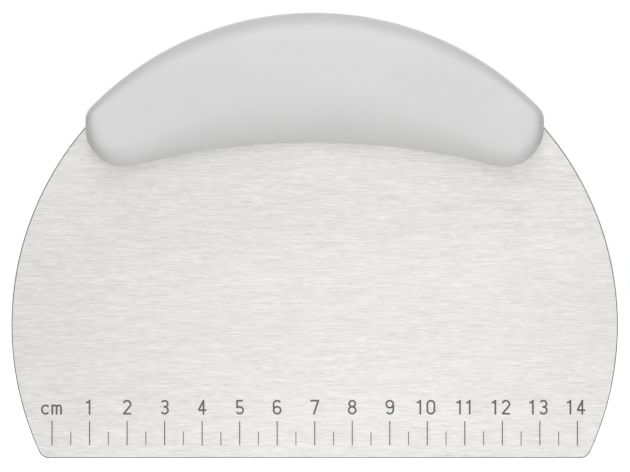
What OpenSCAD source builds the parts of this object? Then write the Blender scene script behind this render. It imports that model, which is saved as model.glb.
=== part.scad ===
// Bench scraper: a round-topped steel blade clamped between the two shells of a moulded handle.
// The origin is the middle of the straight scraping edge. +X runs along that edge, +Z points
// up to the handle, and the graduated face of the blade looks towards -Y.

/* [Blade] */
// Radius of the blade's round outline
blade_r = 80.8; // [79:0.1:83]
// Height of the centre of that round above the scraping edge
blade_rise = 35.4; // [34:0.1:37]
// Thickness of the steel sheet
blade_t = 0.8; // [0.6:0.1:1.2]
// Radius of the corners at both ends of the scraping edge
edge_corner_r = 3; // [1:0.5:5]

/* [Scale] */
// Number of centimetres on the scale
scale_cm = 14; // [10:1:14]
// Gap between the scraping edge and the foot of the marks
mark_gap = 3.4; // [2:0.1:5]
// Length of the numbered marks, one each centimetre
long_mark = 6.5; // [5:0.1:7]
// Length of the marks at the half centimetres
short_mark = 3.7; // [2:0.1:4.5]
// Width of the marks
mark_w = 0.3; // [0.2:0.05:0.5]
// Width of the strokes of the numerals
stroke_w = 0.48; // [0.3:0.02:0.5]
// Depth of the engraving
mark_depth = 0.05; // [0.03:0.01:0.1]

/* [Handle] */
// Length of the handle from end to end
handle_len = 122.2; // [120:0.1:124]
// Thickness of the handle from front to back, at the middle
handle_t = 22; // [20:0.5:26]
// Thickness of the ends of the handle, as a share of that at the middle
end_thickness = 0.75; // [0.7:0.05:1]
// How far the top of the handle stands above the rim of the blade
handle_cover = 2.5; // [2.4:0.1:3]
// Height of the arched lower side above the scraping edge, at the middle
arch_z = 84.1; // [83:0.1:86]
// Radius of the rounded lower ends
lobe_r = 10.6; // [10:0.1:11.5]
// Height of the middle of the lower ends above the scraping edge
lobe_z = 88.3; // [87.5:0.1:89]
// Height at which the upper corners of the ends start to turn in
shoulder_z = 90; // [89.6:0.1:91]
// Wall thickness of the shells
wall = 2.2; // [1.6:0.1:2.2]

/* [Fastening] */
// Diameter of the moulded pins that hold the shells and the blade together
pin_d = 5; // [4:0.5:6]
// How far the pins reach into the back shell, from the middle of the blade
pin_reach = 5; // [4:0.5:5.5]
// Diameter of the bosses that the pins and their sockets stand on
boss_d = 9; // [8:0.5:10]
// Thickness of the ribs inside the shells
rib_t = 1.6; // [1:0.1:2]
// Gap between the blade and the plastic around it
blade_gap = 0.15; // [0.05:0.05:0.15]

/* [Hidden] */
$fn = 96;

steel = [0.78, 0.78, 0.77];
plastic = [0.84, 0.84, 0.84];
blackening = [0.25, 0.25, 0.25];

half_len = handle_len / 2;
half_t = handle_t / 2;
blade_half_t = blade_t / 2;
overcut = 0.1;                    // how far a cutting solid runs past the face it cuts

// Blade outline. A corner's round touches the scraping edge and crosses the big round by a
// hair, so that the two meet in a clean point.
corner_reach = 0.02;
edge_corner_x = corner_reach
    + sqrt(pow(blade_r - edge_corner_r, 2) - pow(blade_rise - edge_corner_r, 2));
corner_top_z = blade_rise - (blade_rise - edge_corner_r) * blade_r / (blade_r - edge_corner_r);

// Handle outline. It runs through tangent arcs: the crown, a shoulder and a lobe at each end,
// and the hollow arch of the lower side.
crown_r = blade_r + handle_cover;
lobe_x = half_len - lobe_r;
shoulder_rise = shoulder_z - blade_rise;
shoulder_r = (pow(crown_r, 2) - pow(half_len, 2) - pow(shoulder_rise, 2)) / (2 * (crown_r - half_len));
shoulder_x = half_len - shoulder_r;
shoulder_turn = atan2(shoulder_rise, shoulder_x);
arch_drop = lobe_z - arch_z;
arch_r = (pow(lobe_x, 2) + pow(arch_drop, 2) - pow(lobe_r, 2)) / (2 * (lobe_r - arch_drop));
arch_c = arch_z - arch_r;
arch_turn = atan2(lobe_x, lobe_z - arch_c);

// Ridge of the handle: an arc from lobe to lobe, halfway between the crown and the arch
ridge_top = (blade_rise + crown_r + arch_z) / 2;
ridge_rise = ridge_top - lobe_z;
ridge_r = (pow(lobe_x, 2) + pow(ridge_rise, 2)) / (2 * ridge_rise);
ridge_c = ridge_top - ridge_r;
ridge_turn = asin(lobe_x / ridge_r);

// Section of the handle from its rim to the ridge. The higher the first exponent the flatter
// the face, and the lower the second one the softer the slope down to the rim. The section is
// flatter at both ends of the handle, and end_blend tells how late along it this sets in.
crown_flat = 5;
crown_end_flat = 10;
crown_rim = 2;
arch_flat = 2.6;
arch_end_flat = 5;
arch_rim = 1.5;
end_blend = 4;
taper_start = 0.3;                // share of the way to each end at which the handle starts to thin

// Number of steps along the ridge and round each end, and from the rim up to the ridge
ridge_steps = 36;
lobe_steps = 9;
shoulder_steps = 4;
outer_rings = 9;
inner_rings = 5;

// Turns along the ridge, from its middle, at which the pins and the ribs stand
pin_turns = [-24, -9, 9, 24];
rib_turns = [-16.5, 0, 16.5];
rib_len = 12;
socket_gap = 0.05;                // between a pin and its socket, all round
hole_gap = 0.2;                   // between a pin and its hole in the blade, all round
socket_extra = 1;                 // depth of a socket past the end of its pin

scale_start = -10 * scale_cm / 2;

// Numerals: size over all, space between two digits, and height of their foot
numeral_w = 2.35;
numeral_h = 3.95;
one_w = 1.2;
digit_space = 1.4;
one_shift = -0.35;                // a number that starts with 1 stands a little to the left
numeral_z = 11.6;
letter_h = 2.7;
letter_space = 0.35;
c_w = 2.4;
m_w = 2.8;
unit_shift = -0.15;                // the unit's name stands a little to the left as well

// ---- shared shapes ----

function ease(x) = let (t = min(1, max(0, x))) t * t * (3 - 2 * t);

function on_arc(x, z, r, turn) = [x + r * cos(turn), z + r * sin(turn)];

// Point i of the ridge, from 0 at its left end to ridge_steps at its right end
function ridge_point(i) = on_arc(0, ridge_c, ridge_r, 90 + ridge_turn * (1 - 2 * i / ridge_steps));

// Depth of the ridge from the middle of the blade. Reach is -1 at its left end, 1 at its right.
function ridge_depth(reach) =
    half_t * (1 - (1 - end_thickness) * ease((abs(reach) - taper_start) / (1 - taper_start)));

// How far round the end of the handle a point lies: 0 at the arch, 1 at the crown
function end_share(p, side) =
    let (
        turn = atan2(p[1] - lobe_z, side * p[0] - lobe_x),
        low = -90 - arch_turn,
        high = atan2(lobe_z - blade_rise, lobe_x)
    )
    ease((turn - low) / (high - low));

// A station is [point on the outline, number of its ridge point, share of the crown's section].
// The outline runs to the right along the arch and back to the left over the crown.
function arch_stations(inset) =
    [for (i = [1 : ridge_steps - 1])
        let (turn = 90 + arch_turn * (1 - 2 * i / ridge_steps))
        [on_arc(0, arch_c, arch_r + inset, turn), i, 0]];

function crown_stations(inset) =
    [for (i = [0 : ridge_steps])
        let (turn = shoulder_turn + (180 - 2 * shoulder_turn) * i / ridge_steps)
        [on_arc(0, blade_rise, crown_r - inset, turn), ridge_steps - i, 1]];

function right_end(inset) = concat(
    [for (i = [0 : lobe_steps])
        on_arc(lobe_x, lobe_z, lobe_r - inset, (90 + arch_turn) * (i / lobe_steps - 1))],
    [for (i = [0 : shoulder_steps - 1])
        on_arc(shoulder_x, shoulder_z, shoulder_r - inset, shoulder_turn * i / shoulder_steps)]);

function right_stations(inset) = [for (p = right_end(inset)) [p, ridge_steps, end_share(p, 1)]];

function left_stations(inset) =
    let (end = right_end(inset), last = len(end) - 1)
    [for (i = [0 : last])
        let (p = [-end[last - i][0], end[last - i][1]])
        [p, 0, end_share(p, -1)]];

function stations(inset) = concat(
    arch_stations(inset), right_stations(inset), crown_stations(inset), left_stations(inset));

function reach_at(i) = 2 * i / ridge_steps - 1;

// One ring of the surface, at a given climb from the rim (0) towards the ridge (90 degrees)
function ring(stops, inset, climb) =
    [for (s = stops)
        let (
            reach = reach_at(s[1]),
            out = pow(abs(reach), end_blend),
            crown = crown_flat + (crown_end_flat - crown_flat) * out,
            arch = arch_flat + (arch_end_flat - arch_flat) * out,
            flat = arch + (crown - arch) * s[2],
            rim = arch_rim + (crown_rim - arch_rim) * s[2],
            way = 1 - pow(cos(climb), 2 / flat),
            at = s[0] + (ridge_point(s[1]) - s[0]) * way,
            depth = (ridge_depth(reach) - inset) * pow(sin(climb), 2 / rim)
        )
        [at[0], -depth, at[1]]];

// Points of one skin: its rings from the rim inwards, and then the ridge
function skin_points(stops, inset, count) = concat(
    [for (k = [0 : count - 1]) each ring(stops, inset, 90 * k / count)],
    [for (i = [0 : ridge_steps])
        let (p = ridge_point(i))
        [p[0], inset - ridge_depth(reach_at(i)), p[1]]]);

// Triangles of one skin whose points start at number first, as seen from outside the handle
function skin_faces(stops, count, first) =
    let (n = len(stops), ridge = first + count * n)
    concat(
        [for (k = [0 : count - 2], i = [0 : n - 1])
            let (a = first + k * n, j = (i + 1) % n)
            each [[a + i, a + n + i, a + n + j], [a + i, a + n + j, a + j]]],
        [for (i = [0 : n - 1])
            let (a = ridge - n, j = (i + 1) % n, p = ridge + stops[i][1], q = ridge + stops[j][1])
            each p == q
                ? [[a + i, p, a + j]]
                : [[a + i, p, q], [a + i, q, a + j]]]);

function turned_over(faces) = [for (f = faces) [f[0], f[2], f[1]]];

// Front shell as one closed surface: outside, cavity and the flat land that joins their rims
module shell_skin() {
    outside = stations(0);
    cavity = stations(wall);
    n = len(outside);
    first = outer_rings * n + ridge_steps + 1;
    points = concat(
        skin_points(outside, 0, outer_rings),
        skin_points(cavity, wall, inner_rings));
    faces = concat(
        skin_faces(outside, outer_rings, 0),
        turned_over(skin_faces(cavity, inner_rings, first)),
        [for (i = [0 : n - 1])
            let (j = (i + 1) % n)
            each [[i, j, first + j], [i, first + j, first + i]]]);
    polyhedron(points = points, faces = faces, convexity = 6);
}

// Room for the blade between the shells
module blade_pocket() {
    translate([0, -blade_half_t, blade_rise])
        rotate([-90, 0, 0])
            cylinder(r = blade_r + blade_gap, h = blade_t);
}

// Puts its children on the ridge, at a turn from the middle, with their Y axis front to back
module on_ridge(turn) {
    translate([0, 0, ridge_c])
        rotate([0, turn, 0])
            translate([0, 0, ridge_r])
                children();
}

// A round bar along Y, from one depth to another
module cross_bar(d, from_y, to_y) {
    translate([0, from_y, 0])
        rotate([-90, 0, 0])
            cylinder(d = d, h = to_y - from_y);
}

// Depth of the middle of a shell's face wall, at a turn from the middle of the ridge
function wall_depth(turn) = ridge_depth(turn / ridge_turn) - wall / 2;

// Bosses and ribs of one shell, from the blade's face into the shell's face wall
module stiffeners() {
    for (turn = pin_turns)
        on_ridge(turn)
            cross_bar(boss_d, -wall_depth(turn), -blade_half_t);
    for (turn = rib_turns)
        on_ridge(turn)
            translate([-rib_t / 2, -wall_depth(turn), -rib_len / 2])
                cube([rib_t, wall_depth(turn) - blade_half_t, rib_len]);
}

module shell() {
    difference() {
        shell_skin();
        blade_pocket();
    }
    stiffeners();
}

// ---- engraved scale ----

// Straight and round strokes of a numeral, in the XY plane. $deep is their height above it.
module bar(a, b) {
    translate([a[0], a[1], 0])
        rotate([0, 0, atan2(b[1] - a[1], b[0] - a[0])])
            translate([0, -stroke_w / 2, 0])
                cube([norm(b - a), stroke_w, $deep]);
}

module bend(centre, r, from_turn, to_turn) {
    translate([centre[0], centre[1], 0])
        rotate_extrude(angle = to_turn - from_turn, start = from_turn)
            translate([r - stroke_w / 2, 0])
                square([stroke_w, $deep]);
}

module loop(centre, r) {
    translate([centre[0], centre[1], 0])
        difference() {
            cylinder(r = r + stroke_w / 2, h = $deep);
            translate([0, 0, -overcut])
                cylinder(r = r - stroke_w / 2, h = $deep + 2 * overcut);
        }
}

// Size of a numeral between the middles of its strokes
gw = numeral_w - stroke_w;
gh = numeral_h - stroke_w;
gr = gw / 2;

module zero() {
    bend([gr, gr], gr, 180, 360);
    bend([gr, gh - gr], gr, 0, 180);
    for (x = [0, gw]) bar([x, gr], [x, gh - gr]);
}

module one() {
    stem = one_w - stroke_w;
    bar([stem, -stroke_w / 2], [stem, gh + stroke_w / 2]);
    bar([-stroke_w / 2, gh - 0.45], [0.4, gh - 0.45]);
    bar([0.35, gh - 0.5], [stem, gh]);
}

module two() {
    neck = on_arc(gr, gh - gr, gr, -35);
    bend([gr, gh - gr], gr, -35, 165);
    bar(neck, [0, 0]);
    bar([-0.15, 0], [gw + 0.2, 0]);
}

module three() {
    small_r = (gh / 2) * 0.48;
    big_r = gh / 2 - small_r;
    bend([gr, gh - small_r], small_r, -90, 155);
    bend([gr, big_r], big_r, -155, 90);
    bar([gr - 0.3, 2 * big_r], [gr, 2 * big_r]);
}

module four() {
    stem = 1.3;
    bar([stem, -stroke_w / 2], [stem, gh + stroke_w / 2]);
    bar([0, 0.95], [stem, gh]);
    bar([-0.1, 0.95], [gw + 0.2, 0.95]);
}

module five() {
    bowl_r = 0.92;
    shoulder = on_arc(gr, bowl_r, bowl_r, 140);
    bend([gr, bowl_r], bowl_r, -150, 140);
    bar(shoulder, [0.25, gh]);
    bar([0.05, gh], [gw - 0.1, gh]);
}

module six() {
    loop([gr, gr], gr);
    bend([gr, gh - gr], gr, 30, 180);
    bar([0, gr], [0, gh - gr]);
}

module seven() {
    bar([-stroke_w / 2, gh], [gw + stroke_w / 2, gh]);
    bar([0.65, -stroke_w / 2], [gw, gh]);
}

module eight() {
    top_r = gh / 2 - gr;
    loop([gr, gr], gr);
    loop([gr, gh - top_r], top_r);
}

module nine() {
    translate([gw, gh, 0])
        rotate([0, 0, 180])
            six();
}

module letter_c() {
    r = (c_w - stroke_w) / 2;
    high = letter_h - stroke_w;
    bend([r, r], r, 180, 325);
    bend([r, high - r], r, 35, 180);
    bar([0, r], [0, high - r]);
}

module letter_m() {
    high = letter_h - stroke_w;
    r = (m_w - stroke_w) / 4;
    bar([0, -stroke_w / 2], [0, high + stroke_w / 2]);
    for (i = [0, 1]) {
        bend([r + 2 * i * r, high - r], r, 0, 180);
        bar([2 * (i + 1) * r, -stroke_w / 2], [2 * (i + 1) * r, high - r]);
    }
}

module digit(value) {
    if (value == 0) zero();
    if (value == 1) one();
    if (value == 2) two();
    if (value == 3) three();
    if (value == 4) four();
    if (value == 5) five();
    if (value == 6) six();
    if (value == 7) seven();
    if (value == 8) eight();
    if (value == 9) nine();
}

function digit_w(value) = value == 1 ? one_w : numeral_w;

// A number from 1 to 19, its foot on the X axis and its middle on the Y axis
module number(value) {
    units = value % 10;
    teens = value > 9;
    lead_w = teens ? digit_w(1) + digit_space : 0;
    shift = teens || value == 1 ? one_shift : 0;
    start = shift - (lead_w + digit_w(units)) / 2 + stroke_w / 2;
    translate([start, stroke_w / 2, 0]) {
        if (teens) digit(1);
        translate([lead_w, 0, 0]) digit(units);
    }
}

module unit_name() {
    translate([unit_shift + (stroke_w - c_w - letter_space - m_w) / 2, stroke_w / 2, 0]) {
        letter_c();
        translate([c_w + letter_space, 0, 0]) letter_m();
    }
}

module mark(x, length) {
    translate([x - mark_w / 2, mark_gap, 0])
        cube([mark_w, length, $deep]);
}

// Lays its children, drawn in the XY plane, into the graduated face of the blade
module in_graduated_face() {
    translate([0, mark_depth - blade_half_t, 0])
        rotate([90, 0, 0])
            children();
}

module tick_strokes() {
    in_graduated_face() {
        for (i = [0 : scale_cm]) mark(scale_start + 10 * i, long_mark);
        for (i = [0 : scale_cm - 1]) mark(scale_start + 10 * i + 5, short_mark);
    }
}

module numeral_strokes() {
    in_graduated_face() {
        for (i = [1 : scale_cm])
            translate([scale_start + 10 * i, numeral_z, 0]) number(i);
        translate([scale_start, numeral_z, 0]) unit_name();
    }
}

// ---- sub-parts ----

module blade_outline() {
    intersection() {
        translate([0, blade_rise]) circle(r = blade_r);
        union() {
            translate([-blade_r, corner_top_z]) square([2 * blade_r, 2 * blade_r]);
            translate([-edge_corner_x, 0]) square([2 * edge_corner_x, edge_corner_r]);
            for (side = [-1, 1])
                translate([side * edge_corner_x, edge_corner_r]) circle(r = edge_corner_r);
        }
    }
}

module blade() {
    color(steel)
        difference() {
            translate([0, blade_half_t, 0])
                rotate([90, 0, 0])
                    linear_extrude(height = blade_t) blade_outline();
            for (turn = pin_turns)
                on_ridge(turn)
                    cross_bar(pin_d + 2 * hole_gap, -blade_t, blade_t);
            tick_strokes($deep = mark_depth + overcut);
            numeral_strokes($deep = mark_depth + overcut);
        }
}

// Blackening that fills the engraving level with the steel
module scale_ticks() {
    color(blackening) tick_strokes($deep = mark_depth);
}

module scale_numerals() {
    color(blackening) numeral_strokes($deep = mark_depth);
}

module handle_front_shell() {
    color(plastic) {
        shell();
        for (turn = pin_turns)
            on_ridge(turn)
                cross_bar(pin_d, -blade_t, pin_reach);
    }
}

module handle_back_shell() {
    color(plastic)
        difference() {
            mirror([0, 1, 0]) shell();
            for (turn = pin_turns)
                on_ridge(turn)
                    cross_bar(pin_d + 2 * socket_gap, -blade_t, pin_reach + socket_extra);
        }
}

blade();
scale_ticks();
scale_numerals();
handle_front_shell();
handle_back_shell();
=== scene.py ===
import math

import bmesh
import bpy
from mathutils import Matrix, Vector
from mathutils.geometry import tessellate_polygon


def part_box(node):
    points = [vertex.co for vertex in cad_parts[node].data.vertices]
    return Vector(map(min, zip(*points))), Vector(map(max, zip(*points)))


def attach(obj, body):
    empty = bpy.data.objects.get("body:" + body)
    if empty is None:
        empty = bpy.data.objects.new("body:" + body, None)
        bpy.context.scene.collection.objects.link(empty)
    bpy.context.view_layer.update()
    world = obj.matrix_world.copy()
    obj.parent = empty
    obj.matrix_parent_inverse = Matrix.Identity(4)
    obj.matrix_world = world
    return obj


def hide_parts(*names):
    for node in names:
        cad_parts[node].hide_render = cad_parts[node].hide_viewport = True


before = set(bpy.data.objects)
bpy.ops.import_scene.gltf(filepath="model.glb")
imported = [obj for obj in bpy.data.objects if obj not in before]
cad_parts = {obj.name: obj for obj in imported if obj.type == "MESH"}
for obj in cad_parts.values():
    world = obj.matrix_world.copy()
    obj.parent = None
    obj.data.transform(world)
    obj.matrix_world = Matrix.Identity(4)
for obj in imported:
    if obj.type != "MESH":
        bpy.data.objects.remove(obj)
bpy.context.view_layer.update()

bl_info = {
    "name": "Bench Scraper",
    "version": (1, 0, 0),
    "blender": (4, 5, 0),
    "location": "3D View > Sidebar > Scraper",
    "description": "A steel bench scraper with a centimetre scale and a two-part moulded handle",
    "category": "Add Mesh",
}

MM = 0.001
BODY = "root"
BLADE_LOW, BLADE_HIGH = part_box("blade")
TICKS_LOW, TICKS_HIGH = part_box("scale_ticks")
FRONT_LOW, FRONT_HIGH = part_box("handle_front_shell")

# The blade's round is as wide as the blade, and its top is the top of the blade.
BLADE_RADIUS = (BLADE_HIGH.x - BLADE_LOW.x) / 2
BLADE_RISE = BLADE_HIGH.z - BLADE_RADIUS
BLADE_HALF = (BLADE_HIGH.y - BLADE_LOW.y) / 2
# How far the marks stand proud of the steel, so that no two faces share a plane.
PROUD = 0.002 * MM
# Turns along the ridge, in degrees from its middle, at which the handle's pins stand.
PIN_TURNS = (-24.0, -9.0, 9.0, 24.0)
# Gaps that keep each shell off the middle plane and off the blade's face.
SEAM_GAP = 0.02 * MM
FACE_GAP = 0.01 * MM
PLASTIC_ROUGHNESS = 0.48
MARKING_ROUGHNESS = 0.6
RIM_ATTRIBUTE = "rim"
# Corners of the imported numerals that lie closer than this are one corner.
WELD = 0.0005 * MM
# How late along the handle its section changes to that of the ends, and where it starts to thin.
END_BLEND = 4.0
TAPER_START = 0.3


# ---- settings ----

class BladeSettings(bpy.types.PropertyGroup):
    corner_radius: bpy.props.FloatProperty(
        name="Corner radius", description="Round at both ends of the scraping edge",
        default=3.0 * MM, min=1.0 * MM, max=5.0 * MM, unit="LENGTH")
    rim_break: bpy.props.FloatProperty(
        name="Rim break", description="Rounding of the sheared rim of the sheet",
        default=0.24 * MM, min=0.02 * MM, max=0.3 * MM, unit="LENGTH")
    hole_radius: bpy.props.FloatProperty(
        name="Hole radius", description="Radius of the holes for the pins of the handle",
        default=2.7 * MM, min=2.0 * MM, max=3.4 * MM, unit="LENGTH")
    colour: bpy.props.FloatVectorProperty(
        name="Steel", description="Colour of the brushed stainless steel",
        default=(0.72, 0.713, 0.699), size=3, min=0.0, max=1.0, subtype="COLOR")
    roughness: bpy.props.FloatProperty(
        name="Roughness", description="Roughness of the steel across the brushed lines",
        default=0.4, min=0.0, max=1.0)
    # Painted shade: darkens the colour of the sheared rim to stand in for the dark reflection along
    # the edge of the sheet.
    rim_painted_shade: bpy.props.FloatProperty(
        name="Rim shade", description="How much darker the sheared rim is than the faces",
        default=0.62, min=0.0, max=1.0)
    brushing: bpy.props.FloatProperty(
        name="Brushing", description="How much the brushed lines differ in tone",
        default=0.95, min=0.0, max=1.0)


class ScaleSettings(bpy.types.PropertyGroup):
    centimetres: bpy.props.IntProperty(
        name="Centimetres", description="Length of the scale", default=14, min=10, max=14)
    long_tick: bpy.props.FloatProperty(
        name="Long tick", description="Length of the numbered ticks",
        default=TICKS_HIGH.z - TICKS_LOW.z, min=5.0 * MM, max=7.0 * MM, unit="LENGTH")
    short_tick: bpy.props.FloatProperty(
        name="Short tick", description="Length of the ticks at the half centimetres",
        default=3.7 * MM, min=2.0 * MM, max=4.5 * MM, unit="LENGTH")
    long_width: bpy.props.FloatProperty(
        name="Long tick width", description="Width of the numbered ticks",
        default=0.30 * MM, min=0.2 * MM, max=0.5 * MM, unit="LENGTH")
    short_width: bpy.props.FloatProperty(
        name="Short tick width", description="Width of the ticks at the half centimetres",
        default=0.24 * MM, min=0.2 * MM, max=0.5 * MM, unit="LENGTH")
    colour: bpy.props.FloatVectorProperty(
        name="Marking", description="Colour of the etched marks",
        default=(0.108, 0.106, 0.104), size=3, min=0.0, max=1.0, subtype="COLOR")


class HandleSettings(bpy.types.PropertyGroup):
    lobe_radius: bpy.props.FloatProperty(
        name="Lobe radius", description="Radius of the rounded lower ends",
        default=10.6 * MM, min=10.0 * MM, max=11.5 * MM, unit="LENGTH")
    lobe_height: bpy.props.FloatProperty(
        name="Lobe height", description="Height of the middle of the lower ends",
        default=88.3 * MM, min=87.5 * MM, max=89.0 * MM, unit="LENGTH")
    shoulder_height: bpy.props.FloatProperty(
        name="Shoulder height", description="Height at which the upper corners turn in",
        default=90.0 * MM, min=89.6 * MM, max=91.0 * MM, unit="LENGTH")
    arch_height: bpy.props.FloatProperty(
        name="Arch height", description="Height of the arched lower side at the middle",
        default=84.1 * MM, min=83.0 * MM, max=86.0 * MM, unit="LENGTH")
    end_thickness: bpy.props.FloatProperty(
        name="End thickness", description="Thickness of the ends against that of the middle",
        default=0.75, min=0.7, max=1.0, subtype="FACTOR")
    crown_flat: bpy.props.FloatProperty(
        name="Crown flatness", description="How flat the face stays towards the upper rim",
        default=5.0, min=2.0, max=10.0)
    crown_end_flat: bpy.props.FloatProperty(
        name="Crown flatness at the ends", description="The same at both ends of the handle",
        default=10.0, min=2.0, max=16.0)
    arch_flat: bpy.props.FloatProperty(
        name="Arch flatness", description="How flat the face stays towards the lower rim",
        default=2.6, min=2.0, max=10.0)
    arch_end_flat: bpy.props.FloatProperty(
        name="Arch flatness at the ends", description="The same at both ends of the handle",
        default=5.0, min=2.0, max=10.0)
    crown_rim: bpy.props.FloatProperty(
        name="Crown rim", description="How steeply the face rises from the upper rim",
        default=2.0, min=1.0, max=3.0)
    arch_rim: bpy.props.FloatProperty(
        name="Arch rim", description="How steeply the face rises from the lower rim",
        default=1.5, min=1.0, max=3.0)
    wall: bpy.props.FloatProperty(
        name="Wall", description="Wall thickness of the shells",
        default=2.2 * MM, min=1.6 * MM, max=2.2 * MM, unit="LENGTH")
    parting_break: bpy.props.FloatProperty(
        name="Parting break", description="Rounding of the rims where the shells meet",
        default=0.14 * MM, min=0.02 * MM, max=0.2 * MM, unit="LENGTH")
    colour: bpy.props.FloatVectorProperty(
        name="Plastic", description="Colour of the moulded handle",
        default=(0.70, 0.70, 0.70), size=3, min=0.0, max=1.0, subtype="COLOR")


class StageSettings(bpy.types.PropertyGroup):
    floor_colour: bpy.props.FloatVectorProperty(
        name="Floor", description="Colour of the floor",
        default=(0.90, 0.90, 0.90), size=3, min=0.0, max=1.0, subtype="COLOR")
    camera_distance: bpy.props.FloatProperty(
        name="Camera distance", description="From the middle of the blade to the camera",
        default=1.5, min=0.5, max=5.0, unit="LENGTH")
    view_width: bpy.props.FloatProperty(
        name="View width", description="Width that the camera takes in at the blade",
        default=167.93 * MM, min=0.1, max=1.0, unit="LENGTH")
    view_height: bpy.props.FloatProperty(
        name="Camera height", description="Height of the camera above the floor",
        default=59.2 * MM, min=0.0, max=1.0, unit="LENGTH")
    room_front: bpy.props.FloatProperty(
        name="Room, front", description="Brightness of the room in front of the object",
        default=0.96, min=0.0, max=4.0)
    room_back: bpy.props.FloatProperty(
        name="Room, back", description="Brightness of the room behind the object",
        default=1.44, min=0.0, max=4.0)
    room_sides: bpy.props.FloatProperty(
        name="Room, sides", description="Brightness of the room to the left and right",
        default=0.02, min=0.0, max=4.0)
    room_above: bpy.props.FloatProperty(
        name="Room, above", description="Brightness of the room overhead",
        default=0.0, min=0.0, max=4.0)
    softbox: bpy.props.FloatProperty(
        name="Softbox", description="Brightness of the softbox in front of the blade",
        default=0.45, min=0.0, max=10.0)
    pool: bpy.props.FloatProperty(
        name="Pool light", description="Brightness of the lamp over the floor before the blade",
        default=1.8, min=0.0, max=50.0)
    key: bpy.props.FloatProperty(
        name="Key softbox", description="Brightness of the large softbox above and in front",
        default=2.5, min=0.0, max=20.0)
    foot_light: bpy.props.FloatProperty(
        name="Foot light", description="Brightness of the low light on the foot of the blade",
        default=0.11, min=0.0, max=20.0)
    floor_glow: bpy.props.FloatProperty(
        name="Floor glow", description="Light that the floor adds in every direction",
        default=0.03, min=0.0, max=2.0)
    floor_lift: bpy.props.FloatProperty(
        name="Floor lift", description="Light that the floor adds towards the camera",
        default=0.66, min=0.0, max=2.0)


# ---- mesh helpers ----

def add_object(name, vertices, faces, smooth=True):
    """A new mesh object from vertices in metres, at the origin."""
    mesh = bpy.data.meshes.new(name)
    mesh.from_pydata([tuple(v) for v in vertices], [], faces)
    mesh.validate()
    mesh.polygons.foreach_set("use_smooth", [smooth] * len(mesh.polygons))
    mesh.update()
    piece = bpy.data.objects.new(name, mesh)
    bpy.context.scene.collection.objects.link(piece)
    return piece


def hand_over(piece, material, slot, *nodes):
    """Gives a finished piece its material and its place in the frame."""
    piece.data.materials.clear()
    piece.data.materials.append(material)
    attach(piece, BODY)
    if nodes:
        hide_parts(*nodes)


def on_arc(x, z, radius, turn):
    """Point at an angle, in radians, on a circle in the XZ plane."""
    return Vector((x + radius * math.cos(turn), 0.0, z + radius * math.sin(turn)))


def ease(x):
    """Smooth rise from 0, at and below 0, to 1, at and above 1."""
    t = min(1.0, max(0.0, x))
    return t * t * (3.0 - 2.0 * t)


# ---- shader groups ----

def add_group(name, inputs, outputs):
    """A shader node group with float or vector sockets, and its input and output nodes."""
    group = bpy.data.node_groups.new(name, "ShaderNodeTree")
    for label, kind, value in inputs:
        socket = group.interface.new_socket(name=label, in_out="INPUT", socket_type=kind)
        if value is not None:
            socket.default_value = value
    for label, kind in outputs:
        group.interface.new_socket(name=label, in_out="OUTPUT", socket_type=kind)
    return group, group.nodes.new("NodeGroupInput"), group.nodes.new("NodeGroupOutput")


def add_math(tree, operation, first, second=None):
    """A Math node. first and second are sockets or numbers."""
    node = tree.nodes.new("ShaderNodeMath")
    node.operation = operation
    for socket, value in zip(node.inputs, (first, second)):
        if isinstance(value, bpy.types.NodeSocket):
            tree.links.new(value, socket)
        elif value is not None:
            socket.default_value = value
    return node.outputs[0]


def add_noise(tree, vector, scale, detail=2.0, roughness=0.5):
    """A Noise Texture's value. scale is a number, or lines per metre along X, Y and Z."""
    if not isinstance(scale, (int, float)):
        stretch = tree.nodes.new("ShaderNodeVectorMath")
        stretch.operation = "MULTIPLY"
        stretch.inputs[1].default_value = scale
        tree.links.new(vector, stretch.inputs[0])
        vector, scale = stretch.outputs[0], 1.0
    noise = tree.nodes.new("ShaderNodeTexNoise")
    noise.inputs["Scale"].default_value = scale
    noise.inputs["Detail"].default_value = detail
    noise.inputs["Roughness"].default_value = roughness
    tree.links.new(vector, noise.inputs["Vector"])
    return noise.outputs[0]


def brushed_lines_group():
    """Fine lines along X, as a belt leaves them on sheet steel: Tone and Height round zero."""
    group, source, result = add_group(
        "Brushed lines",
        [("Vector", "NodeSocketVector", None), ("Strength", "NodeSocketFloat", 1.0)],
        [("Tone", "NodeSocketFloat"), ("Height", "NodeSocketFloat")])
    vector = source.outputs["Vector"]
    short_hairs = add_noise(group, vector, (360.0, 5200.0, 5200.0), 2.0, 0.6)
    long_hairs = add_noise(group, vector, (125.0, 4700.0, 4700.0), 2.0, 0.6)
    hairs = add_math(group, "ADD", add_math(group, "MULTIPLY", short_hairs, 0.58),
                     add_math(group, "MULTIPLY", long_hairs, 0.42))
    bands = add_noise(group, vector, (110.0, 1500.0, 1500.0), 2.0, 0.55)
    drift = add_noise(group, vector, (9.0, 14.0, 22.0), 1.0, 0.5)
    hair_tone = add_math(group, "SUBTRACT", hairs, 0.5)
    band_tone = add_math(group, "MULTIPLY", add_math(group, "SUBTRACT", bands, 0.5), 0.25)
    drift_tone = add_math(group, "MULTIPLY", add_math(group, "SUBTRACT", drift, 0.5), 0.16)
    tone = add_math(group, "ADD", add_math(group, "ADD", hair_tone, band_tone), drift_tone)
    group.links.new(add_math(group, "MULTIPLY", tone, source.outputs["Strength"]),
                    result.inputs["Tone"])
    group.links.new(add_math(group, "ADD", hair_tone, band_tone), result.inputs["Height"])
    return group


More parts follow.
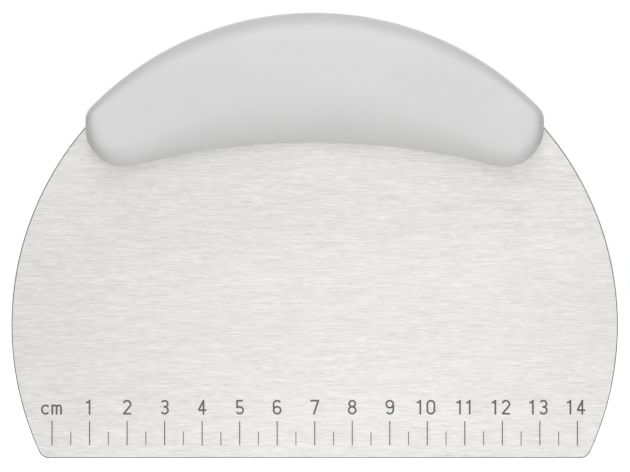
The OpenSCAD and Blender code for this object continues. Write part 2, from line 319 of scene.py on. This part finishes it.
def fine_mottle_group():
    """Even moulded grain and faint cloudiness: Tone round zero, and Height from 0 to 1."""
    group, source, result = add_group(
        "Fine mottle",
        [("Vector", "NodeSocketVector", None), ("Grain scale", "NodeSocketFloat", 2500.0),
         ("Strength", "NodeSocketFloat", 1.0)],
        [("Tone", "NodeSocketFloat"), ("Height", "NodeSocketFloat")])
    vector = source.outputs["Vector"]
    grain = group.nodes.new("ShaderNodeTexNoise")
    grain.inputs["Detail"].default_value = 2.0
    group.links.new(vector, grain.inputs["Vector"])
    group.links.new(source.outputs["Grain scale"], grain.inputs["Scale"])
    cloud = add_noise(group, vector, 38.0, 2.0, 0.5)
    grain_tone = add_math(group, "SUBTRACT", grain.outputs[0], 0.5)
    cloud_tone = add_math(group, "SUBTRACT", cloud, 0.5)
    tone = add_math(group, "ADD", grain_tone, cloud_tone)
    group.links.new(add_math(group, "MULTIPLY", tone, source.outputs["Strength"]),
                    result.inputs["Tone"])
    group.links.new(grain.outputs[0], result.inputs["Height"])
    return group


def shared_group(name, build):
    """The shader group of this name, which is built the first time it is asked for."""
    return bpy.data.node_groups.get(name) or build()


# ---- materials ----

def start_material(name, colour, roughness, metallic=0.0):
    """A material with a Principled BSDF, its Object coordinates and its base colour."""
    material = bpy.data.materials.new(name)
    material.use_nodes = True
    material.diffuse_color = (*colour, 1.0)
    tree = material.node_tree
    tree.nodes.clear()
    output = tree.nodes.new("ShaderNodeOutputMaterial")
    shader = tree.nodes.new("ShaderNodeBsdfPrincipled")
    shader.inputs["Base Color"].default_value = (*colour, 1.0)
    shader.inputs["Roughness"].default_value = roughness
    shader.inputs["Metallic"].default_value = metallic
    tree.links.new(shader.outputs[0], output.inputs["Surface"])
    place = tree.nodes.new("ShaderNodeTexCoord").outputs["Object"]
    return material, tree, shader, place


def place_group(tree, group, vector, **values):
    """Puts a shader group in a material and sets its inputs. An underscore is a space."""
    node = tree.nodes.new("ShaderNodeGroup")
    node.node_tree = group
    tree.links.new(vector, node.inputs["Vector"])
    for label, value in values.items():
        node.inputs[label.replace("_", " ")].default_value = value
    return node


def tint(tree, shader, colour, tone):
    """Multiplies the base colour by 1 plus the tone."""
    mix = tree.nodes.new("ShaderNodeVectorMath")
    mix.operation = "SCALE"
    mix.inputs[0].default_value = colour
    tree.links.new(add_math(tree, "ADD", tone, 1.0), mix.inputs["Scale"])
    tree.links.new(mix.outputs[0], shader.inputs["Base Color"])


def add_bump(tree, shader, height, strength, distance):
    """Bump from a height, feeding the shader's normal."""
    bump = tree.nodes.new("ShaderNodeBump")
    bump.inputs["Strength"].default_value = strength
    bump.inputs["Distance"].default_value = distance
    tree.links.new(height, bump.inputs["Height"])
    tree.links.new(bump.outputs[0], shader.inputs["Normal"])


def steel_material(settings):
    """Brushed stainless steel: fine lines along the scraping edge, which smear what it
    reflects up and down, and painted shade darkening the sheared rim, which is also rougher."""
    material, tree, shader, place = start_material(
        "Brushed stainless", settings.colour, settings.roughness, metallic=1.0)
    shader.inputs["Anisotropic"].default_value = 0.6
    shader.inputs["Anisotropic Rotation"].default_value = 0.25
    lines = place_group(tree, shared_group("Brushed lines", brushed_lines_group), place,
                        Strength=settings.brushing)
    rim = tree.nodes.new("ShaderNodeAttribute")
    rim.attribute_name = RIM_ATTRIBUTE
    # Painted shade on the rim: its colour is darkened to stand in for the dark reflection along the
    # edge. The rim's added roughness below is real.
    painted_rim_shade = add_math(tree, "MULTIPLY", rim.outputs["Fac"], -settings.rim_painted_shade)
    tint(tree, shader, settings.colour, add_math(tree, "ADD", lines.outputs["Tone"], painted_rim_shade))
    roughness = add_math(tree, "MULTIPLY", lines.outputs["Height"], 0.12)
    roughness = add_math(tree, "ADD", roughness, settings.roughness)
    rougher_rim = add_math(tree, "MULTIPLY", rim.outputs["Fac"], 0.1)
    roughness = add_math(tree, "ADD", roughness, rougher_rim)
    tree.links.new(roughness, shader.inputs["Roughness"])
    add_bump(tree, shader, lines.outputs["Height"], 0.35, 0.02 * MM)
    return material


def plastic_material(settings):
    """Light grey moulded plastic with a fine satin texture."""
    material, tree, shader, place = start_material(
        "Handle plastic", settings.colour, PLASTIC_ROUGHNESS)
    mottle = place_group(tree, shared_group("Fine mottle", fine_mottle_group), place,
                         Grain_scale=2600.0, Strength=0.03)
    tint(tree, shader, settings.colour, mottle.outputs["Tone"])
    roughness = add_math(tree, "MULTIPLY", mottle.outputs["Tone"], 1.5)
    roughness = add_math(tree, "ADD", roughness, PLASTIC_ROUGHNESS)
    tree.links.new(roughness, shader.inputs["Roughness"])
    add_bump(tree, shader, mottle.outputs["Height"], 0.12, 0.03 * MM)
    return material


def marking_material(settings):
    """Dark etched marking: matt, with the steel's lines still faintly there."""
    material = bpy.data.materials.get("Etched marking")
    if material:
        return material
    material, tree, shader, place = start_material(
        "Etched marking", settings.colour, MARKING_ROUGHNESS, metallic=0.25)
    lines = place_group(tree, shared_group("Brushed lines", brushed_lines_group), place,
                        Strength=0.6)
    tint(tree, shader, settings.colour, lines.outputs["Tone"])
    mottle = place_group(tree, shared_group("Fine mottle", fine_mottle_group), place,
                         Grain_scale=9000.0, Strength=0.5)
    roughness = add_math(tree, "MULTIPLY", mottle.outputs["Tone"], 0.4)
    roughness = add_math(tree, "ADD", roughness, MARKING_ROUGHNESS)
    tree.links.new(roughness, shader.inputs["Roughness"])
    add_bump(tree, shader, lines.outputs["Height"], 0.2, 0.01 * MM)
    return material


# ---- blade ----

def blade_loop(settings, inset):
    """Outline of the blade, drawn in by inset: edge, corner, big round, corner."""
    big = BLADE_RADIUS - inset
    small = settings.corner_radius - inset
    corner_x = math.sqrt((BLADE_RADIUS - settings.corner_radius) ** 2
                         - (BLADE_RISE - settings.corner_radius) ** 2)
    meet = math.atan2(settings.corner_radius - BLADE_RISE, corner_x)
    corner_steps, round_steps = 12, 288
    right = [on_arc(corner_x, settings.corner_radius, small,
                    -math.pi / 2 + (meet + math.pi / 2) * i / corner_steps)
             for i in range(corner_steps)]
    crown = [on_arc(0.0, BLADE_RISE, big, meet + (math.pi - 2 * meet) * i / round_steps)
             for i in range(round_steps + 1)]
    left = [Vector((-p.x, 0.0, p.z)) for p in reversed(right)]
    return right + crown + left


def pin_places():
    """Middles of the holes in the blade, on the handle's ridge."""
    ridge = HandleShape(bpy.context.scene.scraper_handle)
    return [on_arc(0.0, ridge.ridge_centre, ridge.ridge_radius, math.pi / 2 - math.radians(turn))
            for turn in PIN_TURNS]


def sheet_layers(settings):
    """Depth and inset of each loop round the rim, from the front face to the back."""
    half, cut = BLADE_HALF, settings.rim_break
    steps = [(0.0, 1.0), (0.25, 0.45), (0.6, 0.12), (1.0, 0.0)]
    front = [(-half + cut * deep, cut * inward) for deep, inward in steps]
    return front + [(-depth, inset) for depth, inset in reversed(front)]


class SCRAPER_OT_blade(bpy.types.Operator):
    """Makes the steel sheet with its broken rim and the holes for the handle's pins"""
    bl_idname = "scraper.make_blade"
    bl_label = "Make Blade"

    def execute(self, context):
        settings = context.scene.scraper_blade
        layers = sheet_layers(settings)
        hole_steps = 32
        vertices, loops = [], []
        for depth, inset in layers:
            loop = blade_loop(settings, inset)
            loops.append(range(len(vertices), len(vertices) + len(loop)))
            vertices += [Vector((p.x, depth, p.z)) for p in loop]
        holes = []
        for middle in pin_places():
            rims = []
            for depth in (-BLADE_HALF, BLADE_HALF):
                rims.append(range(len(vertices), len(vertices) + hole_steps))
                ring = [on_arc(middle.x, middle.z, settings.hole_radius,
                               2 * math.pi * i / hole_steps) for i in range(hole_steps)]
                vertices += [Vector((p.x, depth, p.z)) for p in ring]
            holes.append(rims)
        faces = []
        for near, far in zip(loops, loops[1:]):
            count = len(near)
            faces += [(near[i], near[(i + 1) % count], far[(i + 1) % count], far[i])
                      for i in range(count)]
        rim_faces = len(faces)
        for near, far in holes:
            faces += [(near[i], far[i], far[(i + 1) % hole_steps], near[(i + 1) % hole_steps])
                      for i in range(hole_steps)]
        for side, loop, facing in ((0, loops[0], -1.0), (1, loops[-1], 1.0)):
            rings = [list(loop)] + [list(rims[side]) for rims in holes]
            numbers = [n for ring in rings for n in ring]
            flat = [[Vector((vertices[n].x, vertices[n].z, 0.0)) for n in ring] for ring in rings]
            for a, b, c in tessellate_polygon(flat):
                a, b, c = numbers[a], numbers[b], numbers[c]
                normal = (vertices[b] - vertices[a]).cross(vertices[c] - vertices[a])
                faces.append((a, b, c) if normal.y * facing > 0 else (a, c, b))
        piece = add_object("blade_sheet", vertices, faces, smooth=False)
        for polygon in piece.data.polygons[:rim_faces]:
            polygon.use_smooth = True
        # Marks the rim faces, which the steel gives painted shade and extra roughness.
        rim = piece.data.attributes.new(RIM_ATTRIBUTE, "FLOAT", "FACE")
        for share in rim.data[:rim_faces]:
            share.value = 1.0
        hand_over(piece, steel_material(settings), "brushed_stainless", "blade")
        return {"FINISHED"}


# ---- scale ----

def add_tick_tree():
    """Geometry Nodes: a row of ticks, long at even and short at odd places."""
    tree = bpy.data.node_groups.new("Scale ticks", "GeometryNodeTree")
    tree.is_modifier = True
    sockets = [
        ("Ticks", "NodeSocketInt", 29), ("Spacing", "NodeSocketFloat", 5.0 * MM),
        ("First", "NodeSocketVector", (0.0, 0.0, 0.0)), ("Depth", "NodeSocketFloat", 0.05 * MM),
        ("Long length", "NodeSocketFloat", 6.5 * MM), ("Long width", "NodeSocketFloat", 0.3 * MM),
        ("Short length", "NodeSocketFloat", 3.7 * MM),
        ("Short width", "NodeSocketFloat", 0.24 * MM),
        ("Material", "NodeSocketMaterial", None)]
    tree.interface.new_socket(name="Geometry", in_out="INPUT", socket_type="NodeSocketGeometry")
    for label, kind, value in sockets:
        socket = tree.interface.new_socket(name=label, in_out="INPUT", socket_type=kind)
        if value is not None:
            socket.default_value = value
    tree.interface.new_socket(name="Geometry", in_out="OUTPUT", socket_type="NodeSocketGeometry")
    new, link = tree.nodes.new, tree.links.new
    source, result = new("NodeGroupInput"), new("NodeGroupOutput")

    row = new("GeometryNodeMeshLine")
    row.mode = "OFFSET"
    step = new("ShaderNodeCombineXYZ")
    link(source.outputs["Spacing"], step.inputs["X"])
    link(source.outputs["Ticks"], row.inputs["Count"])
    link(source.outputs["First"], row.inputs["Start Location"])
    link(step.outputs[0], row.inputs["Offset"])

    block = new("GeometryNodeMeshCube")
    block.inputs["Size"].default_value = (1.0, 1.0, 1.0)
    foot = new("GeometryNodeTransform")
    foot.inputs["Translation"].default_value = (0.0, 0.5, 0.5)
    link(block.outputs["Mesh"], foot.inputs["Geometry"])

    index = new("GeometryNodeInputIndex")
    odd = new("ShaderNodeMath")
    odd.operation = "MODULO"
    odd.inputs[1].default_value = 2.0
    link(index.outputs[0], odd.inputs[0])
    size = new("ShaderNodeCombineXYZ")
    link(source.outputs["Depth"], size.inputs["Y"])
    for axis, label in (("X", "width"), ("Z", "length")):
        pick = new("GeometryNodeSwitch")
        pick.input_type = "FLOAT"
        link(odd.outputs[0], pick.inputs["Switch"])
        link(source.outputs["Long " + label], pick.inputs["False"])
        link(source.outputs["Short " + label], pick.inputs["True"])
        link(pick.outputs[0], size.inputs[axis])

    spread = new("GeometryNodeInstanceOnPoints")
    link(row.outputs["Mesh"], spread.inputs["Points"])
    link(foot.outputs["Geometry"], spread.inputs["Instance"])
    link(size.outputs[0], spread.inputs["Scale"])
    realize = new("GeometryNodeRealizeInstances")
    link(spread.outputs["Instances"], realize.inputs["Geometry"])
    paint = new("GeometryNodeSetMaterial")
    link(realize.outputs["Geometry"], paint.inputs["Geometry"])
    link(source.outputs["Material"], paint.inputs["Material"])
    link(paint.outputs["Geometry"], result.inputs["Geometry"])
    return tree


def made_by_nodes(name, tree, values):
    """Plain mesh object of what a Geometry Nodes tree makes with these input values."""
    carrier = add_object(name + "_carrier", [], [])
    modifier = carrier.modifiers.new(tree.name, "NODES")
    modifier.node_group = tree
    for item in tree.interface.items_tree:
        if item.item_type == "SOCKET" and item.in_out == "INPUT" and item.name in values:
            modifier[item.identifier] = values[item.name]
    evaluated = carrier.evaluated_get(bpy.context.evaluated_depsgraph_get())
    mesh = bpy.data.meshes.new_from_object(evaluated)
    mesh.name = name
    bpy.data.objects.remove(carrier)
    piece = bpy.data.objects.new(name, mesh)
    bpy.context.scene.collection.objects.link(piece)
    return piece


class SCRAPER_OT_ticks(bpy.types.Operator):
    """Makes the ticks of the centimetre scale, sunk into the steel and a hair proud of it"""
    bl_idname = "scraper.make_ticks"
    bl_label = "Make Scale Ticks"

    def execute(self, context):
        settings = context.scene.scraper_scale
        depth = TICKS_HIGH.y - TICKS_LOW.y
        first = Vector((-settings.centimetres * 5.0 * MM, TICKS_LOW.y - PROUD, TICKS_LOW.z))
        material = marking_material(settings)
        piece = made_by_nodes("scale_tick_row", add_tick_tree(), {
            "Ticks": 2 * settings.centimetres + 1, "First": first, "Depth": depth,
            "Long length": settings.long_tick, "Long width": settings.long_width,
            "Short length": settings.short_tick, "Short width": settings.short_width,
            "Material": material})
        hand_over(piece, material, "etched_black", "scale_ticks")
        return {"FINISHED"}


class SCRAPER_OT_numerals(bpy.types.Operator):
    """Makes the numerals of the scale, a hair proud of the steel like its ticks"""
    bl_idname = "scraper.make_numerals"
    bl_label = "Make Numerals"

    def execute(self, context):
        shape = bmesh.new()
        shape.from_mesh(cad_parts["scale_numerals"].data)
        bmesh.ops.remove_doubles(shape, verts=shape.verts, dist=WELD)
        bmesh.ops.translate(shape, verts=shape.verts, vec=(0.0, -PROUD, 0.0))
        bmesh.ops.recalc_face_normals(shape, faces=shape.faces)
        piece = add_object("scale_numeral_row", [], [], smooth=False)
        shape.to_mesh(piece.data)
        shape.free()
        hand_over(piece, marking_material(context.scene.scraper_scale), "etched_black",
                  "scale_numerals")
        return {"FINISHED"}


# ---- handle ----

class HandleShape:
    """Outline, ridge and section of the handle, from its settings and the frame."""

    def __init__(self, settings):
        half = (FRONT_HIGH.x - FRONT_LOW.x) / 2
        lobe, self.lobe_z = settings.lobe_radius, settings.lobe_height
        self.settings, self.lobe_r = settings, lobe
        self.depth = -FRONT_LOW.y
        self.crown_r = FRONT_HIGH.z - BLADE_RISE
        self.lobe_x = half - lobe
        rise = settings.shoulder_height - BLADE_RISE
        self.shoulder_r = ((self.crown_r ** 2 - half ** 2 - rise ** 2)
                           / (2 * (self.crown_r - half)))
        self.shoulder_x = half - self.shoulder_r
        self.shoulder_turn = math.atan2(rise, self.shoulder_x)
        drop = self.lobe_z - settings.arch_height
        self.arch_r = (self.lobe_x ** 2 + drop ** 2 - lobe ** 2) / (2 * (lobe - drop))
        self.arch_c = settings.arch_height - self.arch_r
        self.arch_turn = math.atan2(self.lobe_x, self.lobe_z - self.arch_c)
        top = (BLADE_RISE + self.crown_r + settings.arch_height) / 2
        ridge_rise = top - self.lobe_z
        self.ridge_radius = (self.lobe_x ** 2 + ridge_rise ** 2) / (2 * ridge_rise)
        self.ridge_centre = top - self.ridge_radius
        self.ridge_turn = math.asin(self.lobe_x / self.ridge_radius)

    def ridge_point(self, share):
        """Point of the ridge, from 0 at its left end to 1 at its right end."""
        return on_arc(0.0, self.ridge_centre, self.ridge_radius,
                      math.pi / 2 + self.ridge_turn * (1 - 2 * share))

    def end_share(self, point):
        """How far round the right end a point lies: 0 at the arch, 1 at the crown."""
        turn = math.atan2(point.z - self.lobe_z, point.x - self.lobe_x)
        low = -math.pi / 2 - self.arch_turn
        high = math.atan2(self.lobe_z - BLADE_RISE, self.lobe_x)
        return ease((turn - low) / (high - low))

    def stations(self, inset, ridge_steps, lobe_steps, shoulder_steps):
        """Points of the outline, each with its place on the ridge and its share of the crown's
        section: along the arch to the right, round the end, back over the crown, round the end."""
        arch = [(on_arc(0.0, self.arch_c, self.arch_r + inset,
                        math.pi / 2 + self.arch_turn * (1 - 2 * i / ridge_steps)), i, 0.0)
                for i in range(1, ridge_steps)]
        sweep = math.pi / 2 + self.arch_turn
        lobe = [on_arc(self.lobe_x, self.lobe_z, self.lobe_r - inset,
                       sweep * (i / lobe_steps - 1)) for i in range(lobe_steps + 1)]
        shoulder = [on_arc(self.shoulder_x, self.settings.shoulder_height, self.shoulder_r - inset,
                           self.shoulder_turn * i / shoulder_steps) for i in range(shoulder_steps)]
        right = [(p, ridge_steps, self.end_share(p)) for p in lobe + shoulder]
        over = math.pi - 2 * self.shoulder_turn
        crown = [(on_arc(0.0, BLADE_RISE, self.crown_r - inset,
                         self.shoulder_turn + over * i / ridge_steps), ridge_steps - i, 1.0)
                 for i in range(ridge_steps + 1)]
        left = [(Vector((-p.x, 0.0, p.z)), 0, share) for p, _, share in reversed(right)]
        return arch + right + crown + left

    def ridge_depth(self, reach):
        """Depth of the ridge where reach is -1 at its left end and 1 at its right end."""
        thinned = ease((abs(reach) - TAPER_START) / (1.0 - TAPER_START))
        return self.depth * (1.0 - (1.0 - self.settings.end_thickness) * thinned)

    def face_point(self, start, end, reach, share, depth, climb):
        """Point of the face, climbing from the rim (0) to the ridge (a quarter turn)."""
        s, out = self.settings, abs(reach) ** END_BLEND
        arch = s.arch_flat + (s.arch_end_flat - s.arch_flat) * out
        crown = s.crown_flat + (s.crown_end_flat - s.crown_flat) * out
        flat = arch + (crown - arch) * share
        rim = s.arch_rim + (s.crown_rim - s.arch_rim) * share
        way = 1.0 - max(math.cos(climb), 0.0) ** (2.0 / flat)
        at = start.lerp(end, way)
        return Vector((at.x, -depth * math.sin(climb) ** (2.0 / rim), at.z))


def shell_mesh(settings):
    """Vertices and faces of the front shell: outside, cavity and the land between them."""
    shape = HandleShape(settings)
    ridge_steps, lobe_steps, shoulder_steps = 96, 26, 12
    outer_rings, inner_rings = 34, 8
    cut = settings.parting_break
    vertices, faces = [], []

    def land_depth(point):
        """Where the rim ends: against the blade's face, or at the middle beyond its rim."""
        beyond = math.hypot(point.x, point.z - BLADE_RISE) - BLADE_RADIUS
        sunk = 1.0 - ease(beyond / (0.4 * MM) + 0.5)
        return -(SEAM_GAP + (BLADE_HALF + FACE_GAP) * sunk)

    def add_skin(inset, rings, lip):
        stops = shape.stations(inset, ridge_steps, lobe_steps, shoulder_steps)
        ends = [shape.ridge_point(i / ridge_steps) for i in range(ridge_steps + 1)]
        reaches = [2 * i / ridge_steps - 1 for i in range(ridge_steps + 1)]
        depths = [shape.ridge_depth(reach) - inset for reach in reaches]
        first, count = len(vertices), len(stops)
        lands = [land_depth(p) for p, _, _ in stops]
        for deep, inward in lip:
            for (p, i, _), land in zip(stops, lands):
                drawn = p + (ends[i] - p).normalized() * inward
                vertices.append(Vector((drawn.x, land - deep, drawn.z)))
        lip_depth = lip[-1][0]
        for k in range(1, rings):
            climb = math.pi / 2 * k / rings
            for (p, i, share), land in zip(stops, lands):
                at = shape.face_point(p, ends[i], reaches[i], share, depths[i], climb)
                at.y = min(at.y, land - lip_depth - FACE_GAP * k)
                vertices.append(at)
        ridge = len(vertices)
        vertices.extend(Vector((p.x, -depth, p.z)) for p, depth in zip(ends, depths))
        band = []
        for a in range(first, ridge - count, count):
            band += [(a + i, a + (i + 1) % count, a + count + (i + 1) % count, a + count + i)
                     for i in range(count)]
        last = ridge - count
        for i in range(count):
            j = (i + 1) % count
            p, q = ridge + stops[i][1], ridge + stops[j][1]
            band.append((last + i, last + j, p) if p == q else (last + i, last + j, q, p))
        return first, count, band

    lip = [(0.0, cut), (0.3 * cut, 0.3 * cut), (cut, 0.0)]
    outer, count, outside = add_skin(0.0, outer_rings, lip)
    inner, _, cavity = add_skin(settings.wall, inner_rings, [(0.0, 0.0)])
    faces += outside + [tuple(reversed(f)) for f in cavity]
    faces += [(outer + i, inner + i, inner + (i + 1) % count, outer + (i + 1) % count)
              for i in range(count)]
    return vertices, faces


class SCRAPER_OT_handle(bpy.types.Operator):
    """Makes the two moulded shells of the handle, front and back"""
    bl_idname = "scraper.make_handle"
    bl_label = "Make Handle Shells"

    def execute(self, context):
        settings = context.scene.scraper_handle
        material = plastic_material(settings)
        vertices, faces = shell_mesh(settings)
        front = add_object("handle_front_cover", vertices, faces)
        hand_over(front, material, "handle_plastic", "handle_front_shell")
        turned = [Vector((v.x, -v.y, v.z)) for v in vertices]
        back = add_object("handle_back_cover", turned, [tuple(reversed(f)) for f in faces])
        hand_over(back, material, "handle_plastic", "handle_back_shell")
        return {"FINISHED"}


# ---- stage ----

def add_softbox(name, place, target, width, height, brightness, spread=math.pi):
    """A rectangular light that faces its target, as bright all over as the value says."""
    light = bpy.data.lights.new(name, "AREA")
    light.shape = "RECTANGLE"
    light.size, light.size_y = width, height
    light.energy = brightness * math.pi * width * height
    light.spread = spread
    lamp = bpy.data.objects.new(name, light)
    lamp.location = place
    lamp.rotation_euler = (Vector(target) - Vector(place)).to_track_quat("-Z", "Y").to_euler()
    lamp.visible_camera = False
    bpy.context.scene.collection.objects.link(lamp)


def make_world(settings):
    """White behind the object for the camera. For everything else, a room whose brightness
    in any direction is mixed from its front, back, sides and ceiling."""
    world = bpy.data.worlds.new("Studio")
    world.use_nodes = True
    tree = world.node_tree
    tree.nodes.clear()
    split = tree.nodes.new("ShaderNodeSeparateXYZ")
    tree.links.new(tree.nodes.new("ShaderNodeTexCoord").outputs["Generated"], split.inputs[0])
    across, along, up = (add_math(tree, "POWER", add_math(tree, "ABSOLUTE", out), 2.0)
                         for out in split.outputs)
    ahead = add_math(tree, "LESS_THAN", split.outputs["Y"], 0.0)
    depth = add_math(tree, "MULTIPLY", ahead, settings.room_front - settings.room_back)
    depth = add_math(tree, "ADD", depth, settings.room_back)
    level = add_math(tree, "MULTIPLY", along, depth)
    for part, share in ((across, settings.room_sides), (up, settings.room_above)):
        level = add_math(tree, "ADD", level, add_math(tree, "MULTIPLY", part, share))
    mix = tree.nodes.new("ShaderNodeMixShader")
    room, behind = tree.nodes.new("ShaderNodeBackground"), tree.nodes.new("ShaderNodeBackground")
    for shader in (room, behind):
        shader.inputs["Color"].default_value = (1.0, 1.0, 1.0, 1.0)
    tree.links.new(level, room.inputs["Strength"])
    path = tree.nodes.new("ShaderNodeLightPath")
    tree.links.new(path.outputs["Is Camera Ray"], mix.inputs[0])
    tree.links.new(room.outputs[0], mix.inputs[1])
    tree.links.new(behind.outputs[0], mix.inputs[2])
    output = tree.nodes.new("ShaderNodeOutputWorld")
    tree.links.new(mix.outputs[0], output.inputs["Surface"])
    bpy.context.scene.world = world


def floor_material(settings):
    """Pale matt floor that is lifted towards white for the camera alone."""
    material, tree, shader, place = start_material("Floor", settings.floor_colour, 0.7)
    mottle = place_group(tree, shared_group("Fine mottle", fine_mottle_group), place,
                         Grain_scale=60.0, Strength=0.02)
    tint(tree, shader, settings.floor_colour, mottle.outputs["Tone"])
    path = tree.nodes.new("ShaderNodeLightPath")
    lift = add_math(tree, "MULTIPLY", path.outputs["Is Camera Ray"], settings.floor_lift)
    lift = add_math(tree, "ADD", lift, settings.floor_glow)
    shader.inputs["Emission Color"].default_value = (1.0, 1.0, 1.0, 1.0)
    tree.links.new(lift, shader.inputs["Emission Strength"])
    return material


class SCRAPER_OT_stage(bpy.types.Operator):
    """Sets up the floor, the soft lights and the camera"""
    bl_idname = "scraper.set_stage"
    bl_label = "Set Stage"

    def execute(self, context):
        settings, scene = context.scene.scraper_stage, context.scene
        reach = 4.0
        corners = [(-reach, -reach, 0.0), (reach, -reach, 0.0), (reach, reach, 0.0),
                   (-reach, reach, 0.0)]
        floor = add_object("floor", corners, [(0, 1, 2, 3)], smooth=False)
        floor.data.materials.append(floor_material(settings))

        make_world(settings)
        # Place, target, width, height, brightness and, where it is narrow, spread.
        add_softbox("softbox", (0.022, -0.5, 0.10), (0.022, 0.0, 0.10), 0.12, 0.2, settings.softbox)
        add_softbox("foot_light", (0.0, -0.3, 0.10), (0.0, 0.0, -0.018), 0.3, 0.02,
                    settings.foot_light, math.radians(18.0))
        add_softbox("pool", (0.03, -0.2, 0.6), (0.03, -0.2, 0.0), 0.3, 0.15, settings.pool,
                    math.radians(50.0))
        add_softbox("key", (0.0, -0.8, 1.0), (0.0, -0.1, 0.05), 1.2, 0.7, settings.key)

        camera = bpy.data.cameras.new("camera")
        camera.sensor_width = 36.0
        camera.lens = camera.sensor_width * settings.camera_distance / settings.view_width
        camera.clip_start, camera.clip_end = 0.01, 100.0
        viewer = bpy.data.objects.new("camera", camera)
        viewer.location = (0.08 * MM, -settings.camera_distance, settings.view_height)
        viewer.rotation_euler = (math.pi / 2, 0.0, 0.0)
        scene.collection.objects.link(viewer)
        scene.camera = viewer
        scene.view_settings.view_transform = "Standard"
        return {"FINISHED"}


# ---- panel and registration ----

OPERATORS = (SCRAPER_OT_blade, SCRAPER_OT_ticks, SCRAPER_OT_numerals, SCRAPER_OT_handle,
             SCRAPER_OT_stage)
SETTINGS = {"scraper_blade": BladeSettings, "scraper_scale": ScaleSettings,
            "scraper_handle": HandleSettings, "scraper_stage": StageSettings}


class SCRAPER_PT_panel(bpy.types.Panel):
    """Lists the scraper's pieces and their settings"""
    bl_idname = "SCRAPER_PT_panel"
    bl_label = "Bench Scraper"
    bl_space_type = "VIEW_3D"
    bl_region_type = "UI"
    bl_category = "Scraper"

    def draw(self, context):
        for operator in OPERATORS:
            self.layout.operator(operator.bl_idname)
        for name, group in SETTINGS.items():
            box = self.layout.box()
            for label in group.__annotations__:
                box.prop(getattr(context.scene, name), label)


def register():
    for group in SETTINGS.values():
        bpy.utils.register_class(group)
    for name, group in SETTINGS.items():
        setattr(bpy.types.Scene, name, bpy.props.PointerProperty(type=group))
    for shown in (*OPERATORS, SCRAPER_PT_panel):
        bpy.utils.register_class(shown)


def unregister():
    for shown in (SCRAPER_PT_panel, *reversed(OPERATORS)):
        bpy.utils.unregister_class(shown)
    for name, group in SETTINGS.items():
        delattr(bpy.types.Scene, name)
        bpy.utils.unregister_class(group)


def main():
    register()
    bpy.ops.scraper.set_stage()
    bpy.ops.scraper.make_blade()
    bpy.ops.scraper.make_ticks()
    bpy.ops.scraper.make_numerals()
    bpy.ops.scraper.make_handle()


if __name__ == "__main__":
    main()
